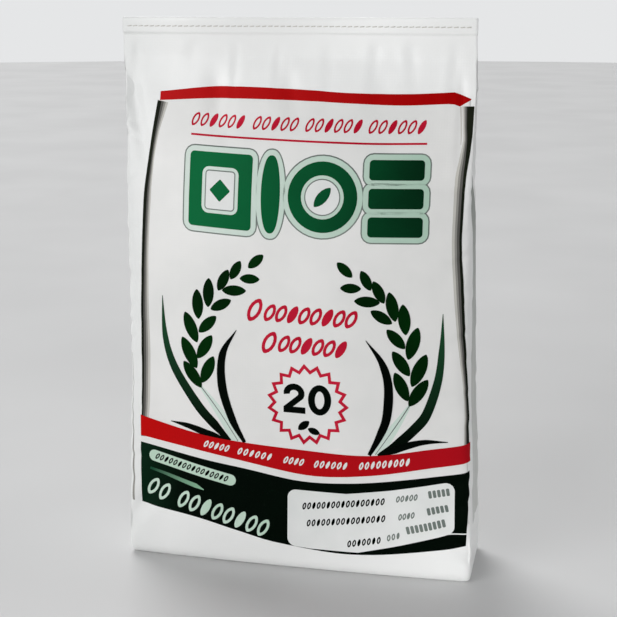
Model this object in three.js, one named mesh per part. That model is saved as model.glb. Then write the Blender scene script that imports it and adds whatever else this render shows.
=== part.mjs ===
// A filled 20 kg rice sack of white laminated woven plastic, standing upright on its flat base.
// Its faces bulge, its side gussets tuck in near the top, and its mouth is folded over and sewn flat.
// Millimetres, +Z up. The front faces -Y, and the origin is the middle of the base.
import * as THREE from "three";

// The outline, level by level. At each height: half the width of a face, half the depth at the
// middle of the face and at its edge creases, how far the side panel stands out (or tucks in, below
// zero), how softly the edge creases are rounded, and where the level's middle lies, because the
// sack slumps a little to the right at its foot and its slack top falls to the left.
const LEVELS = [
  { z: 0, width: 203.4, middle: 49, crease: 45, side: 0, round: 4, across: 3 },
  { z: 4, width: 206, middle: 55, crease: 49.5, side: 0, round: 4, across: 3.3 },
  { z: 14, width: 207.4, middle: 59.5, crease: 53, side: 0.5, round: 5, across: 3.3 },
  { z: 50, width: 206.8, middle: 62, crease: 52, side: 0.5, round: 6, across: 2.9 },
  { z: 130, width: 205.3, middle: 63, crease: 47, side: 2, round: 8, across: 1.7 },
  { z: 260, width: 201.4, middle: 60.5, crease: 40, side: 3.5, round: 10, across: 0.4 },
  { z: 400, width: 202, middle: 54, crease: 31, side: 0, round: 11, across: -3 },
  { z: 480, width: 204, middle: 43, crease: 22, side: -14, round: 7, across: -4 },
  { z: 540, width: 205, middle: 23, crease: 12, side: -28, round: 4, across: -5.5 },
  { z: 580, width: 204.5, middle: 8, crease: 5, side: -24, round: 2, across: -7 },
  { z: 600, width: 204, middle: 2.8, crease: 2.4, side: 0, round: 1, across: -8 },
  { z: 621, width: 203.5, middle: 2.4, crease: 2.4, side: 0, round: 1, across: -8.5 },
  { z: 623, width: 204, middle: 4.2, crease: 4, side: 0, round: 1, across: -8.5 },
  { z: 637.5, width: 204, middle: 4.2, crease: 4, side: 0, round: 1, across: -8.5 },
  { z: 640, width: 203.5, middle: 3.2, crease: 3, side: 0, round: 1, across: -8.5 },
];
const HEIGHT = LEVELS.at(-1).z;
const FACE_HALF_WIDTH = 205;

// How full the faces are between their middle and their edges, and the side panels likewise
const FACE_FULLNESS = 2.2;
const SIDE_FULLNESS = 1.6;

// The foot is turned a little against the rest: its left end stands forward, its right end back
const FOOT_TURN = { toHeight: 190, slope: 0.02 };

// The slack top leans back, and its flat fin waves a little
const LEAN = { fromHeight: 400, back: 4 };
const WAVE = { fromHeight: 500, depth: 5, length: 300, start: 0.9 };

// Folds pressed into the faces: from and to are [across, up] on the face, as seen from outside
const FRONT_FOLDS = [
  { from: [188, 600], to: [186, 420], depth: 2, width: 5 },
  { from: [-200, 585], to: [-168, 452], depth: 4, width: 10 },
  { from: [-96, 606], to: [-84, 500], depth: 3.5, width: 12 },
  { from: [-12, 606], to: [4, 515], depth: 3, width: 11 },
  { from: [104, 606], to: [92, 530], depth: 2.5, width: 12 },
  { from: [-206, 40], to: [-150, 112], depth: 4, width: 11 },
  { from: [206, 36], to: [158, 104], depth: 4, width: 11 },
];
const BACK_FOLDS = [
  { from: [-150, 606], to: [-118, 470], depth: 4.5, width: 13 },
  { from: [-30, 606], to: [-22, 505], depth: 3, width: 11 },
  { from: [70, 606], to: [92, 485], depth: 4, width: 13 },
  { from: [190, 590], to: [180, 430], depth: 5, width: 9 },
  { from: [-206, 40], to: [-156, 110], depth: 4, width: 11 },
  { from: [206, 40], to: [146, 118], depth: 4, width: 11 },
  { from: [-196, 330], to: [-120, 285], depth: 2.5, width: 13 },
];

// Points round each level: faces and side panels
const FACE_STEPS = 36;
const SIDE_STEPS = 12;
const RING = 2 * (FACE_STEPS + SIDE_STEPS);

// Heights of the rings: close at the base fillet and the hem, wider along the belly
const BASE_RINGS = [0, 4, 8, 14, 26, 42, 60];
const BELLY = { from: 82, to: 542, step: 23 };
const TOP_RINGS = [556, 570, 584, 600, 611, 621, 623, 637.5, HEIGHT];

function ringHeights() {
  const belly = [];
  for (let z = BELLY.from; z <= BELLY.to; z += BELLY.step) {
    belly.push(z);
  }
  return [...BASE_RINGS, ...belly, ...TOP_RINGS];
}

// A smooth curve through one value of the levels, with no overshoot between them
function levelValue(key, z) {
  const last = LEVELS.length - 1;
  const slope = (i) =>
    (LEVELS[i + 1][key] - LEVELS[i][key]) / (LEVELS[i + 1].z - LEVELS[i].z);
  const tangent = (i) => {
    const before = slope(Math.max(i - 1, 0));
    const after = slope(Math.min(i, last - 1));
    return before * after > 0 ? (2 * before * after) / (before + after) : 0;
  };
  let i = 0;
  while (i < last - 1 && z > LEVELS[i + 1].z) {
    i += 1;
  }
  const span = LEVELS[i + 1].z - LEVELS[i].z;
  const t = (z - LEVELS[i].z) / span;
  const rise = t * t * (3 - 2 * t);
  return (
    LEVELS[i][key] * (1 - rise) +
    LEVELS[i + 1][key] * rise +
    span * t * (1 - t) * ((1 - t) * tangent(i) - t * tangent(i + 1))
  );
}

// One level as four panels: the front from left to right, the right side, the back, the left side
function panelRing(z) {
  const width = levelValue("width", z);
  const middle = levelValue("middle", z);
  const crease = levelValue("crease", z);
  const side = levelValue("side", z);
  const ring = [];
  for (const turn of [1, -1]) {
    for (let i = 0; i < FACE_STEPS; i += 1) {
      const s = (2 * i) / FACE_STEPS - 1;
      const bulge = (middle - crease) * (1 - Math.abs(s) ** FACE_FULLNESS);
      ring.push([turn * s * width, -turn * (crease + bulge)]);
    }
    for (let i = 0; i < SIDE_STEPS; i += 1) {
      const r = (2 * i) / SIDE_STEPS - 1;
      const out = side * (1 - Math.abs(r) ** SIDE_FULLNESS);
      ring.push([turn * (width + out), turn * r * crease]);
    }
  }
  return ring;
}

// Rounds the creases of a ring by averaging neighbours until the wanted spread is reached
function rounded(ring, spread) {
  const spacing = (4 * FACE_HALF_WIDTH) / (2 * FACE_STEPS);
  const passes = 2 * (spread / spacing) ** 2;
  let points = ring;
  for (let done = 0; done < passes; done += 1) {
    const share = Math.min(1, passes - done) / 4;
    points = points.map(([x, y], i) => {
      const [x0, y0] = points.at(i - 1);
      const [x1, y1] = points[(i + 1) % RING];
      return [
        x + share * (x0 + x1 - 2 * x),
        y + share * (y0 + y1 - 2 * y),
      ];
    });
  }
  return points;
}

// How deep the folds are at a place on a face
function foldDepth(folds, across, up) {
  return folds.reduce((sum, { from, to, depth, width }) => {
    const run = [to[0] - from[0], to[1] - from[1]];
    const along =
      ((across - from[0]) * run[0] + (up - from[1]) * run[1]) /
      (run[0] ** 2 + run[1] ** 2);
    const t = THREE.MathUtils.clamp(along, 0, 1);
    const gap = Math.hypot(
      across - from[0] - t * run[0],
      up - from[1] - t * run[1],
    );
    const fade = 1 - t * t;
    return sum + depth * fade * Math.exp(-((gap / width) ** 2));
  }, 0);
}

// The folds of the face that a ring point belongs to, faded out in the thin hem
function foldAt(index, z) {
  const half = FACE_STEPS + SIDE_STEPS;
  const place = index % half;
  const onFace = place <= FACE_STEPS ? 1 : 0;
  const across = FACE_HALF_WIDTH * ((2 * place) / FACE_STEPS - 1);
  const front = index < half;
  const room = THREE.MathUtils.smoothstep(levelValue("middle", z), 3, 16);
  const depth = foldDepth(front ? FRONT_FOLDS : BACK_FOLDS, across, z) * room;
  return (front ? depth : -depth) * onFace;
}

function ringPoints(z) {
  const up = Math.max(0, z - LEAN.fromHeight) / (HEIGHT - LEAN.fromHeight);
  const slack = Math.max(0, z - WAVE.fromHeight) / (HEIGHT - WAVE.fromHeight);
  const turn = FOOT_TURN.slope * (1 - THREE.MathUtils.smoothstep(z, 0, FOOT_TURN.toHeight));
  const across = levelValue("across", z);
  return rounded(panelRing(z), levelValue("round", z)).map(([x, y], i) => {
    const phase = (2 * Math.PI * x) / WAVE.length + WAVE.start;
    const wave = WAVE.depth * slack ** 2 * Math.sin(phase);
    const back = turn * x + foldAt(i, z) + wave + LEAN.back * up ** 2;
    return [across + x, y + back, z];
  });
}

// A ladder of triangles across one end ring, from the middle of its left side to its right side
function endCap(ringStart, facesUp) {
  const left = RING - SIDE_STEPS / 2;
  const at = (step) => ringStart + ((left + step + RING) % RING);
  const faces = [];
  for (let j = 0; j < RING / 2; j += 1) {
    const [a, b, c, d] = [at(j), at(j + 1), at(-j - 1), at(-j)];
    if (j < RING / 2 - 1) {
      faces.push([a, b, c]);
    }
    if (j > 0) {
      faces.push([a, c, d]);
    }
  }
  return faces.flatMap(([a, b, c]) => (facesUp ? [a, b, c] : [a, c, b]));
}

function sackGeometry() {
  const heights = ringHeights();
  const positions = heights.flatMap((z) => ringPoints(z).flat());
  const indices = [];
  for (let row = 0; row < heights.length - 1; row += 1) {
    for (let i = 0; i < RING; i += 1) {
      const next = (i + 1) % RING;
      const [a, b] = [row * RING + i, row * RING + next];
      const [c, d] = [a + RING, b + RING];
      indices.push(a, b, d, a, d, c);
    }
  }
  indices.push(...endCap(0, false));
  indices.push(...endCap((heights.length - 1) * RING, true));
  const geometry = new THREE.BufferGeometry();
  geometry.setAttribute("position", new THREE.Float32BufferAttribute(positions, 3));
  geometry.setIndex(indices);
  geometry.computeVertexNormals();
  return geometry;
}

// White woven plastic under a clear, slightly glossy laminate
function wovenPlastic() {
  return new THREE.MeshStandardMaterial({ color: 0xe6e7e4, roughness: 0.38, metalness: 0 });
}

const sack = new THREE.Mesh(sackGeometry(), wovenPlastic());
sack.name = "sack";

const riceSack = new THREE.Group();
riceSack.add(sack);

export default riceSack;
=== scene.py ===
# The looks of a filled 20 kg rice sack of white laminated woven plastic, standing on its flat base.
# Shapes are worked out in millimetres, on the flat front as [across, up], and built in metres.
import math

import bmesh
import bpy
import numpy as np
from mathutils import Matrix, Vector


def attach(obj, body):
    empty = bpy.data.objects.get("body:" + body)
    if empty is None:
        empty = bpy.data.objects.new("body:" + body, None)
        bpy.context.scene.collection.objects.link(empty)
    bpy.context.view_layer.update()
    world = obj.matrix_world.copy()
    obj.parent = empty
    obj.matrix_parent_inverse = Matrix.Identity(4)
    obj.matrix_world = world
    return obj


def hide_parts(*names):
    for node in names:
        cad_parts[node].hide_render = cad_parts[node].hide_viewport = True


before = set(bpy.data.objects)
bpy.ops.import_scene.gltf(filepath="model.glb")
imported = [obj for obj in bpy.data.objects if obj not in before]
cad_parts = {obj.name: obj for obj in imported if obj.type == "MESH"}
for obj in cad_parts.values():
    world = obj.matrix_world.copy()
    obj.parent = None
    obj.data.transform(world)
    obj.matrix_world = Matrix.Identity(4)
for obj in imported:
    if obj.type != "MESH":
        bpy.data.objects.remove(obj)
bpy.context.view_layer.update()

MM = 0.001

# Camera: round to the right, at the height of the sack's top, looking down a little
CAMERA_AZIMUTH = 13.0
CAMERA_DISTANCE = 1364.2
CAMERA_HEIGHT = 660.0
CAMERA_PITCH = 12.8
CAMERA_SIDE = 7.6
CAMERA_SHIFT_UP = -0.06
FOCAL_PIXELS = 1200.0
PICTURE_PIXELS = 617.0
SENSOR_WIDTH = 36.0

# Studio: suns by azimuth (0 in front of the sack, 90 on its right), elevation and softness in
# degrees, and strength, and a spot on the right end of the foot, in metres
SUNS = {"front": (-37, 13, 40, 1.45), "window": (-140, 50, 36, 1.6)}
FOOT_SPOT = {"place": (0.6, -1.1, 0.3), "target": (0.21, -0.06, 0.005), "cone": 19, "strength": 14}
SPOT_SOFTNESS = 0.12
ROOM_COLOUR = (0.98, 0.99, 1.0, 1)
HORIZON_STRENGTH, OVERHEAD_STRENGTH, OVERHEAD_FROM = 0.8, 0.36, 0.35
FLOOR_RADIUS = 12.0
FLOOR_COLOURS = (0.64, 0.64, 0.64), (0.68, 0.68, 0.68)

# The outline, level by level: height, half the width of a face, half the depth at the middle of
# the face and at its creases, how far the side panel stands out (or tucks in), crease rounding,
# and where the level's middle lies across
LEVELS = np.array([
    (0, 203.4, 49, 45, 0, 4, 3),
    (4, 206, 55, 49.5, 0, 4, 3.3),
    (14, 207.4, 59.5, 53, 0.5, 5, 3.3),
    (50, 206.8, 62, 52, 0.5, 6, 2.9),
    (130, 205.3, 63, 47, 2, 8, 1.7),
    (260, 201.4, 60.5, 40, 3.5, 10, 0.4),
    (400, 202, 54, 31, 0, 11, -3),
    (480, 204, 43, 22, -14, 7, -4),
    (540, 205, 23, 12, -28, 4, -5.5),
    (580, 204.5, 8, 5, -24, 2, -7),
    (600, 204, 2.8, 2.4, 0, 1, -8),
    (621, 203.5, 2.4, 2.4, 0, 1, -8.5),
    (623, 204, 4.2, 4, 0, 1, -8.5),
    (637.5, 204, 4.2, 4, 0, 1, -8.5),
    (640, 203.5, 3.2, 3, 0, 1, -8.5),
])
UP, WIDTH, MIDDLE, CREASE, SIDE, ROUNDING, ACROSS = range(7)
HEIGHT = 640.0
FACE_HALF_WIDTH = 205.0
SIDE_HALF_WIDTH = 45.0
FACE_FULLNESS = 2.2
SIDE_FULLNESS = 1.6
FOOT_TURN_TO, FOOT_TURN_SLOPE = 190.0, 0.02
LEAN_FROM, LEAN_BACK = 400.0, 4.0
WAVE_FROM, WAVE_DEPTH, WAVE_LENGTH, WAVE_START = 500.0, 5.0, 300.0, 0.9

# Folds pressed into the faces: from, to, depth, width. They fade out where the sack is thin.
FRONT_FOLDS = [
    ((188, 600), (186, 420), 2, 5),
    ((-200, 585), (-168, 452), 4, 10),
    ((-96, 606), (-84, 500), 3.5, 12),
    ((-12, 606), (4, 515), 3, 11),
    ((104, 606), (92, 530), 2.5, 12),
    ((-206, 40), (-150, 112), 4, 11),
    ((206, 36), (158, 104), 4, 11),
]
BACK_FOLDS = [
    ((-150, 606), (-118, 470), 4.5, 13),
    ((-30, 606), (-22, 505), 3, 11),
    ((70, 606), (92, 485), 4, 13),
    ((190, 590), (180, 430), 5, 9),
    ((-206, 40), (-156, 110), 4, 11),
    ((206, 40), (146, 118), 4, 11),
    ((-196, 330), (-120, 285), 2.5, 13),
]
FOLD_ROOM = (3, 16)

# The skin's grid: columns round each level, where the front and back start, and rows up the sack
FACE_STEPS, SIDE_STEPS = 150, 34
HALF = FACE_STEPS + SIDE_STEPS
RING = 2 * HALF
FRONT, BACK = 0, HALF
ROWS = np.concatenate([
    [0, 1, 2.5, 4, 6],
    np.arange(8.5, 618, 2.75),
    [619, 620.5, 621.5, 622.5, 623.5, 625, 628, 631, 634, 636.5, 638.5, 640],
])
COLUMNS = FACE_HALF_WIDTH * (2 * np.arange(-SIDE_STEPS, HALF + 1) / FACE_STEPS - 1)
COLUMN_PITCH = 2 * FACE_HALF_WIDTH / FACE_STEPS

# Dents of the film: depth, size across and up, and seed. The finest are deeper near the long edges.
WIDE_DENTS = (0.9, 95, 120, 3)
SMALL_DENTS = (0.35, 34, 46, 5)
FINE_DENTS = (1.0, 13, 17, 7)
FINE_SHARE, FINE_SHARE_AT_EDGES, EDGE_ZONE = 0.05, 0.16, (10, 60)
DENTS_FADE_IN, DENTS_FADE_OUT = (2, 40), (560, 600)
NOISE_SPREAD = 0.45

# Buckles: short creases that cross the four long edges at random heights, a valley beside a ridge
BUCKLES = {"length": (26, 60), "width": (4.0, 8.0), "depth": (0.4, 1.4)}
BUCKLES_FROM, BUCKLES_TO, BUCKLE_GAP = 30.0, 560.0, (16, 40)
BUCKLE_SCATTER, BUCKLE_SLANT = 9, 0.6
RIDGE_SHARE, RIDGE_PLACE, CREASE_TAPER = 0.55, 1.7, 1.6

# Pleats: upright creases that run down from the seam
PLEATS = {"length": (40, 130), "width": (4.0, 7.5), "depth": (0.25, 0.8)}
PLEAT_COUNT, PLEATS_TOP, PLEAT_SCATTER, PLEAT_SLANT = 8, 612.0, 40, 0.15
CREASES_FADE_IN, CREASES_FADE_OUT = (4, 24), (606, 619)
CREASE_SEED = 11

# The upright crease down the middle of each side panel
GUSSET_CREASE_DEPTH, GUSSET_CREASE_WIDTH = 1.3, 4.0

# Surface: weave and crinkles as scale, bump strength and distance in metres, how much of an ink's
# colour is mottled, and how far the gloss varies
WEAVE_SCALE, WEAVE_DISTORTION, WEAVE_BUMP = 105.0, 0.3, (0.2, 0.00012)
CRINKLE_SCALE, CRINKLE_BUMP = 38, (0.25, 0.0009)
MOTTLE, MOTTLE_SCALE = 0.3, 14
GLOSS_SPREAD, GLOSS_SCALE = (-0.06, 0.08), 22
COAT_ROUGHNESS = 0.16

# Film and inks, by the record's slot: two colours, the axis and the places between which one turns
# into the other, and how the mottling is stretched. Some are only mottled.
# The film's first colour, at the sack's left side, is painted shade: it turns into the film's own paler
# white between these places across.
FILM = ((0.75, 0.76, 0.75), (0.89, 0.895, 0.885), ("X", -215, -150))
FILM_GLOSS = {"roughness": 0.36, "specular": 0.4, "coat": 0.08}
GROUND = ((0.78, 0.78, 0.765), (0.83, 0.825, 0.81))
GROUND_GLOSS = {"roughness": 0.36, "specular": 0.3, "coat": 0.05}
INKS = {
    "red_ink": {
        # The band's mottling is stretched into upright streaks as painted crease highlights, and it is
        # lighter to the left and darker to the right as painted light and shade.
        "band": ((0.52, 0.010, 0.011), (0.37, 0.0005, 0.001), ("X", -170, 150), (3, 1, 0.2)),
        "ribbon": ((0.52, 0.004, 0.004), (0.41, 0.005, 0.012), ("X", -183, 216)),
        "crimson": ((0.46, 0.006, 0.026), (0.58, 0.016, 0.045)),
    },
    "green_ink": {
        "green": ((0.003, 0.145, 0.045), (0.001, 0.021, 0.007), ("X", -110, 150)),
        "blade": ((0.0005, 0.003, 0.001), (0.012, 0.06, 0.024), ("Z", 175, 300)),
    },
    "dark_green_ink": {
        "leaf": ((0.0001, 0.011, 0.001), (0.0004, 0.023, 0.002)),
        "dark": ((0.0002, 0.0012, 0.0005), (0.0006, 0.0026, 0.0012)),
        "stripe": ((0.006, 0.008, 0.005), (0.013, 0.016, 0.009)),
        "field": ((0.0022, 0.017, 0.007), (0.0005, 0.0028, 0.0012), ("X", -180, -130)),
    },
    "pale_green_ink": {
        "pale green": ((0.70, 0.79, 0.73), (0.43, 0.60, 0.49), ("X", -110, 150)),
        "stem": ((0.60, 0.72, 0.65), (0.68, 0.78, 0.72)),
        "mint": ((0.48, 0.66, 0.52), (0.62, 0.76, 0.66)),
        "teal": ((0.012, 0.07, 0.035), (0.27, 0.49, 0.33), ("X", -172, -105)),
    },
    "grey_ink": {
        "grey": ((0.13, 0.16, 0.145), (0.20, 0.23, 0.21)),
        # Painted shade on the side panels: a grey field, paler below and darker upward
        "gusset_shade": ((0.64, 0.65, 0.63), (0.36, 0.38, 0.36), ("Z", 230, 450)),
    },
    "woven_plastic": {"white": ((0.74, 0.76, 0.745), (0.81, 0.82, 0.81))},
}
# Painted fold shade along the stripes' inner edges and the creases: grey tones, and the two tints they are
# mottled between
FOLD_SHADE_TONES = {"pale fold shade": 0.52, "middle fold shade": 0.27, "dark fold shade": 0.10}
FOLD_SHADE_TINT, FOLD_SHADE_TINT_END = (1, 0.98, 0.92), (1.2, 1.17, 1.08)

# Print: how far each layer of ink stands over the skin, how deep its shell reaches into it, where
# the print's own middle and its zero lie across
LAYER_STEP = 0.09
SHELL_DEPTH = 0.2
PRINT_MIDDLE = 14.0
PRINT_ZERO = -3.5

# The ground: how high it is printed and how far it stands over the bare film
GROUND_FROM, GROUND_TO, GROUND_LIFT = 75.0, 552.0, 0.04

# Rows of marks are start, end and count. A grain's style is length, width, tilt in degrees and pen.
# The band at the top has a row of small grains and a rule under it.
TOP_BAND_ENDS = (-161, 195)
TOP_BAND_TOP = [(-161, 557), (-87, 564), (10, 561), (61, 558), (117, 558), (165, 560), (176, 561),
                (184.5, 558), (195, 554)]
TOP_BAND_BOTTOM = [(-161, 547), (-86, 551), (17, 549), (62, 547), (118, 546), (166, 548), (176.6, 548),
                   (181, 545), (185, 547), (195, 553)]
SMALL_ROWS = [((-121, 523), (-56, 523), 6), ((-47, 523), (7, 523), 5), ((14, 523), (79, 523), 6),
              ((85, 523), (149, 523), 6)]
SMALL_GRAIN = (17, 8.0, 62, 2.0)
RULE_CURVE, RULE_PEN = [(-120, 511), (-46, 508), (17, 506), (84, 505), (150, 506)], 2.2
SAG, SAG_MIDDLE, SAG_REACH = 5.0, 80.0, 200.0

# The four large shapes. Boxes are width, height and corner radius, and grains length and width.
BLOCKS_UP = 446
SQUARE_ACROSS, SQUARE, SQUARE_WINDOW, DIAMOND = -81, (76, 84, 5), (34, 42, 3), (18, 18, 1.5)
TALL_GRAIN = (-21, 86, 22)
WHEEL_ACROSS, WHEEL_RADIUS, WHEEL_WINDOW_RADIUS, WHEEL_LEAF = 38, 39, 19, (28, 12)
STACK_ACROSS, STACK_PITCH, STACK_BAR = 119, 31, (60, 22, 4)
BLOCK_LINE, BLOCK_EDGE, WINDOW_EDGE, WINDOW_LINE = 7.4, 5.9, 5.0, 1.3

# The leaves of both ears, from the print's middle: foot across and up, heading in degrees in the
# left and the right ear, and length. The left ear is drawn as a mirror image.
LEAVES = [
    (122, 217, 54, 57, 35), (126, 240, 64, 68, 38), (123, 271, 67, 75, 36), (120, 299, 87, 97, 33),
    (108, 314, 92, 103, 32), (95, 334, 116, 117, 26), (80, 348, 118, 117, 23), (120, 223, 114, 115, 34),
    (123, 252, 122, 125, 32), (119, 283, 136, 134, 28), (104, 311, 153, 150, 26), (90, 334, 178, 178, 27),
    (69, 349, 180, 180, 22), (59, 362, 138, 137, 22),
]
LEAF_STRETCH, LEAF_WIDTH, LEAF_WIDTH_SHARE = 1.06, 5.5, 0.25

# How much the left ear is raised and the right one lowered, and how far the lowest leaves of both
# are moved to the right
EAR_RISE, EAR_SHIFT, EAR_SHIFT_TOP = 2.5, 4.0, 280.0

# Each ear: its side, the stem's foot, and the outer, inner and low blades from foot to tip
EARS = {
    "left": (
        -1,
        [(-59, 158), (-76, 184), (-91, 204), (-105, 221)],
        [(-69, 157), (-88, 176), (-109, 198), (-137, 240), (-149, 277), (-152, 324)],
        [(-51, 157), (-66, 184), (-78, 223), (-77, 261), (-60, 291)],
        [(-72, 157), (-96, 163.5), (-119, 170), (-143, 173.5)],
    ),
    "right": (
        1,
        [(103, 155), (118, 178), (130, 197), (140, 214)],
        [(108, 155), (126, 167), (147.5, 188), (160, 206), (171, 244), (174, 281), (174, 320)],
        [(96, 154), (107, 176), (115, 200), (116, 236), (108, 263), (90, 288)],
        [(106, 154), (124, 161.5), (142, 168), (160, 172), (184, 172.5)],
    ),
}
STEM_WIDTHS, STEM_LINE_WIDTHS = [15, 10, 3.4], [0.7, 1.3]
OUTER_WIDTHS = [5, 11, 11.5, 10, 7, 0.6]
INNER_WIDTHS, LOW_WIDTHS = [4, 9, 10.5, 8.5, 0.6], [4, 9, 8, 5.5, 0.6]

# The two red rows between the ears. Each starts with one larger grain: its place and length.
RED_ROWS = [((-38, 316), 30, ((-27, 314), (80, 311), 8)), ((-21, 279), 29, ((-10, 279), (69, 276), 6))]
RED_TILT = 62
RED_GRAIN = (23, 12, RED_TILT, 3.4)
FIRST_GRAIN_WIDTH, FIRST_GRAIN_PEN = 15, 3.8

# The toothed ring, and in it the two (left, foot, width, height, pen), the zero (middle, outer and
# inner half sizes) and two small grains (middle, length, width, angle in degrees)
BADGE_MIDDLE, BADGE_TEETH, BADGE_TIP, BADGE_NOTCH, BADGE_PEN = (24, 209), 19, 45.5, 38.5, 3.6
TWO = (-4, 198, 26, 35, 7.5)
ZERO = ((38.5, 215.5), (13.5, 18), (5.5, 10.5))
BADGE_GRAINS = [((20, 184), 17, 9, 40), ((32, 178), 15, 8, -20)]

# The ribbon across the sack, the dark field under it, and how far the field's right end bulges
PRINT_LEFT, RIBBON_END, FIELD_END = -183, 216, 208
RIBBON_TOP = [(-183, 176), (-120, 164), (-56, 157), (22, 154), (96, 153), (164, 163), (217, 171)]
RIBBON_BOTTOM = [(-183, 151), (-106, 142), (-44, 133), (28, 124), (96, 129), (165, 141), (216, 149)]
RIBBON_GROUPS = [(-101, -69, 5), (-60, -17, 6), (-4, 21, 4), (32, 72, 6), (84, 143, 9)]
RIBBON_GRAIN = (10, 4.6, 64, 1.6)
FIELD_TOP = [(-183, 143), (-106, 132), (-44, 124), (16, 116), (74, 118), (131, 125), (217, 138)]
FIELD_BOTTOM = [(-183, 67), (-116, 58), (-58, 45), (-3, 34), (85, 29), (211, 47)]
FIELD_BULGE = [(1, 68), (5.3, 103), (5, 138)]

# On the dark field: the pill with its row, the tapering line, and the two rows of large grains
PILL = ((-117, 118.5), 112, 14, 6.8, math.atan2(-21, 106))
PILL_ROWS = [((-164, 128), (-71, 109.5), 16)]
PILL_GRAIN = (9, 4.2, 64, 1.4)
THIN_LINE, THIN_LINE_WIDTHS = [(-171, 112), (-140, 104.5), (-112, 97), (-102, 93)], [3.0, 4.5, 5.5, 1.0]
FIELD_ROWS = [((-175, 91), (-145, 82), 2), ((-135, 80), (-22, 51), 8)]
FIELD_GRAIN = (25, 12, 74, 3.2)

# The pale panel and its rows: dark grains, grey grains and grey bars
PANEL_CORNERS = [(0, 33.5), (28, 31.5), (84, 32), (133, 45), (194, 63), (193, 126), (154, 118.5),
                 (121, 112.5), (70, 105), (1, 105)]
PANEL_RADIUS = 10
PANEL_LINE, PANEL_LINE_PEN = [(160, 56), (184, 61.5), (210, 63)], 1.5
PANEL_DARK_ROWS = [((18, 85), (115, 99), 17), ((23, 64), (116, 78), 16), ((71, 42), (111, 50.5), 7)]
PANEL_DARK_GRAIN = (9.5, 4.4, 66, 1.5)
PANEL_GREY_ROWS = [((127, 102), (152, 106), 5), ((130, 80), (149, 84), 4), ((117, 53), (133, 58), 3)]
PANEL_GREY_GRAIN = (8.5, 4.2, 66, 1.4)
PANEL_BARS = [((163, 109), (188, 113.5), 5, 9), ((162, 88), (187, 93.5), 5, 9),
              ((139, 64), (184, 75), 9, 9.5)]
BAR_FILL, BAR_RADIUS = 0.72, 1.2

# The dark stripes along both edges: which way is inward, path, widths, and how far the painted fold shade
# on the inner edge reaches on the way.
# The painted shade is made of paler lines below the stripe: extra width, layer and shade tone.
STRIPES = {
    "left": (
        1,
        [(-161.5, 546), (-166.3, 513), (-170.4, 479), (-174.7, 433), (-177, 375), (-179, 316),
         (-179.2, 255), (-180, 194), (-182, 150)],
        [4.6, 4.2, 4, 4, 3.6, 3.4, 3.2, 2.4, 1.6],
        [1, 0.5, 0.4, 0.6, 0.6, 0.8, 1, 1, 0.7],
    ),
    "right": (
        -1,
        [(195, 546), (195.3, 526), (195.5, 510), (194, 489), (192, 468), (191.3, 430), (191.2, 391),
         (196, 336), (201.5, 279), (210.5, 220), (210.5, 160)],
        [8.5, 8, 6, 4.4, 3.4, 3.4, 3, 4, 4, 5, 5],
        [0.6, 0.5, 0.5, 0.8, 1, 1, 1, 1, 0.8, 0.6, 0.6],
    ),
}
# Painted fold shade beside the stripes
FOLD_SHADE_LINES = [(8.5, 1, "pale fold shade"), (5.5, 2, "middle fold shade"), (3.0, 3, "dark fold shade")]
# Painted shadow lines, paths and widths: one beside a fold inside the right stripe's top, and one along the
# left crease, each thinning towards one end
RIGHT_FOLD_SHADOW_LINE, RIGHT_FOLD_SHADOW_WIDTHS = [(184, 545), (186, 515), (186, 505)], [1.8, 1.4, 0.8]
LEFT_CREASE_SHADOW_LINE = [(-194.6, 68), (-194.6, 105), (-195.2, 142), (-196.4, 170), (-198.5, 250)]
LEFT_CREASE_SHADOW_WIDTHS = [3.6, 3.2, 2.6, 1.6, 0.6]

# The painted shade on each side panel: a plain grey field, its inset from the creases and the heights it
# runs between
GUSSET_SHADE_INSET, GUSSET_SHADE_FROM, GUSSET_SHADE_TO = 20.0, 66.0, 500.0

# The seam: one row of stitches along the hem
STITCHES_FROM, STITCHES_TO = -196, 197
STITCH_HEIGHT, STITCH_PITCH, STITCH_LENGTH, THREAD_RADIUS = 630.0, 7.0, 5.2, 0.6
STITCH_RISE, STITCH_LIFT, STITCH_DIP = 0.3, 0.45, 0.7
THREAD_COLOURS = (0.55, 0.54, 0.50), (0.72, 0.71, 0.67)

# How flat shapes are drawn: points per span of a curve and per rounded corner, the length of a
# step along a band, and how blunt a hollow grain is
SPAN_STEPS, ARC_POINTS, BAND_STEP = 8, 6, 12.0
HOLLOW_BLUNT = 0.62


def level_value(column, z):
    """One column of the levels at the given heights, smooth and with no overshoot."""
    heights, values = LEVELS[:, UP], LEVELS[:, column]
    slope = np.diff(values) / np.diff(heights)
    before, after = slope[:-1], slope[1:]
    both = np.where(before + after == 0, 1, before + after)
    mean = np.where(before * after > 0, 2 * before * after / both, 0)
    tangent = np.concatenate([slope[:1], mean, slope[-1:]])
    i = np.clip(np.searchsorted(heights, z, side="right") - 1, 0, len(heights) - 2)
    span = heights[i + 1] - heights[i]
    t = (z - heights[i]) / span
    rise = t * t * (3 - 2 * t)
    swing = span * t * (1 - t) * ((1 - t) * tangent[i] - t * tangent[i + 1])
    return values[i] * (1 - rise) + values[i + 1] * rise + swing


def unit(vectors):
    return vectors / np.linalg.norm(vectors, axis=-1, keepdims=True)


def smoothstep(x, low, high):
    t = np.clip((x - low) / (high - low), 0, 1)
    return t * t * (3 - 2 * t)


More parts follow.
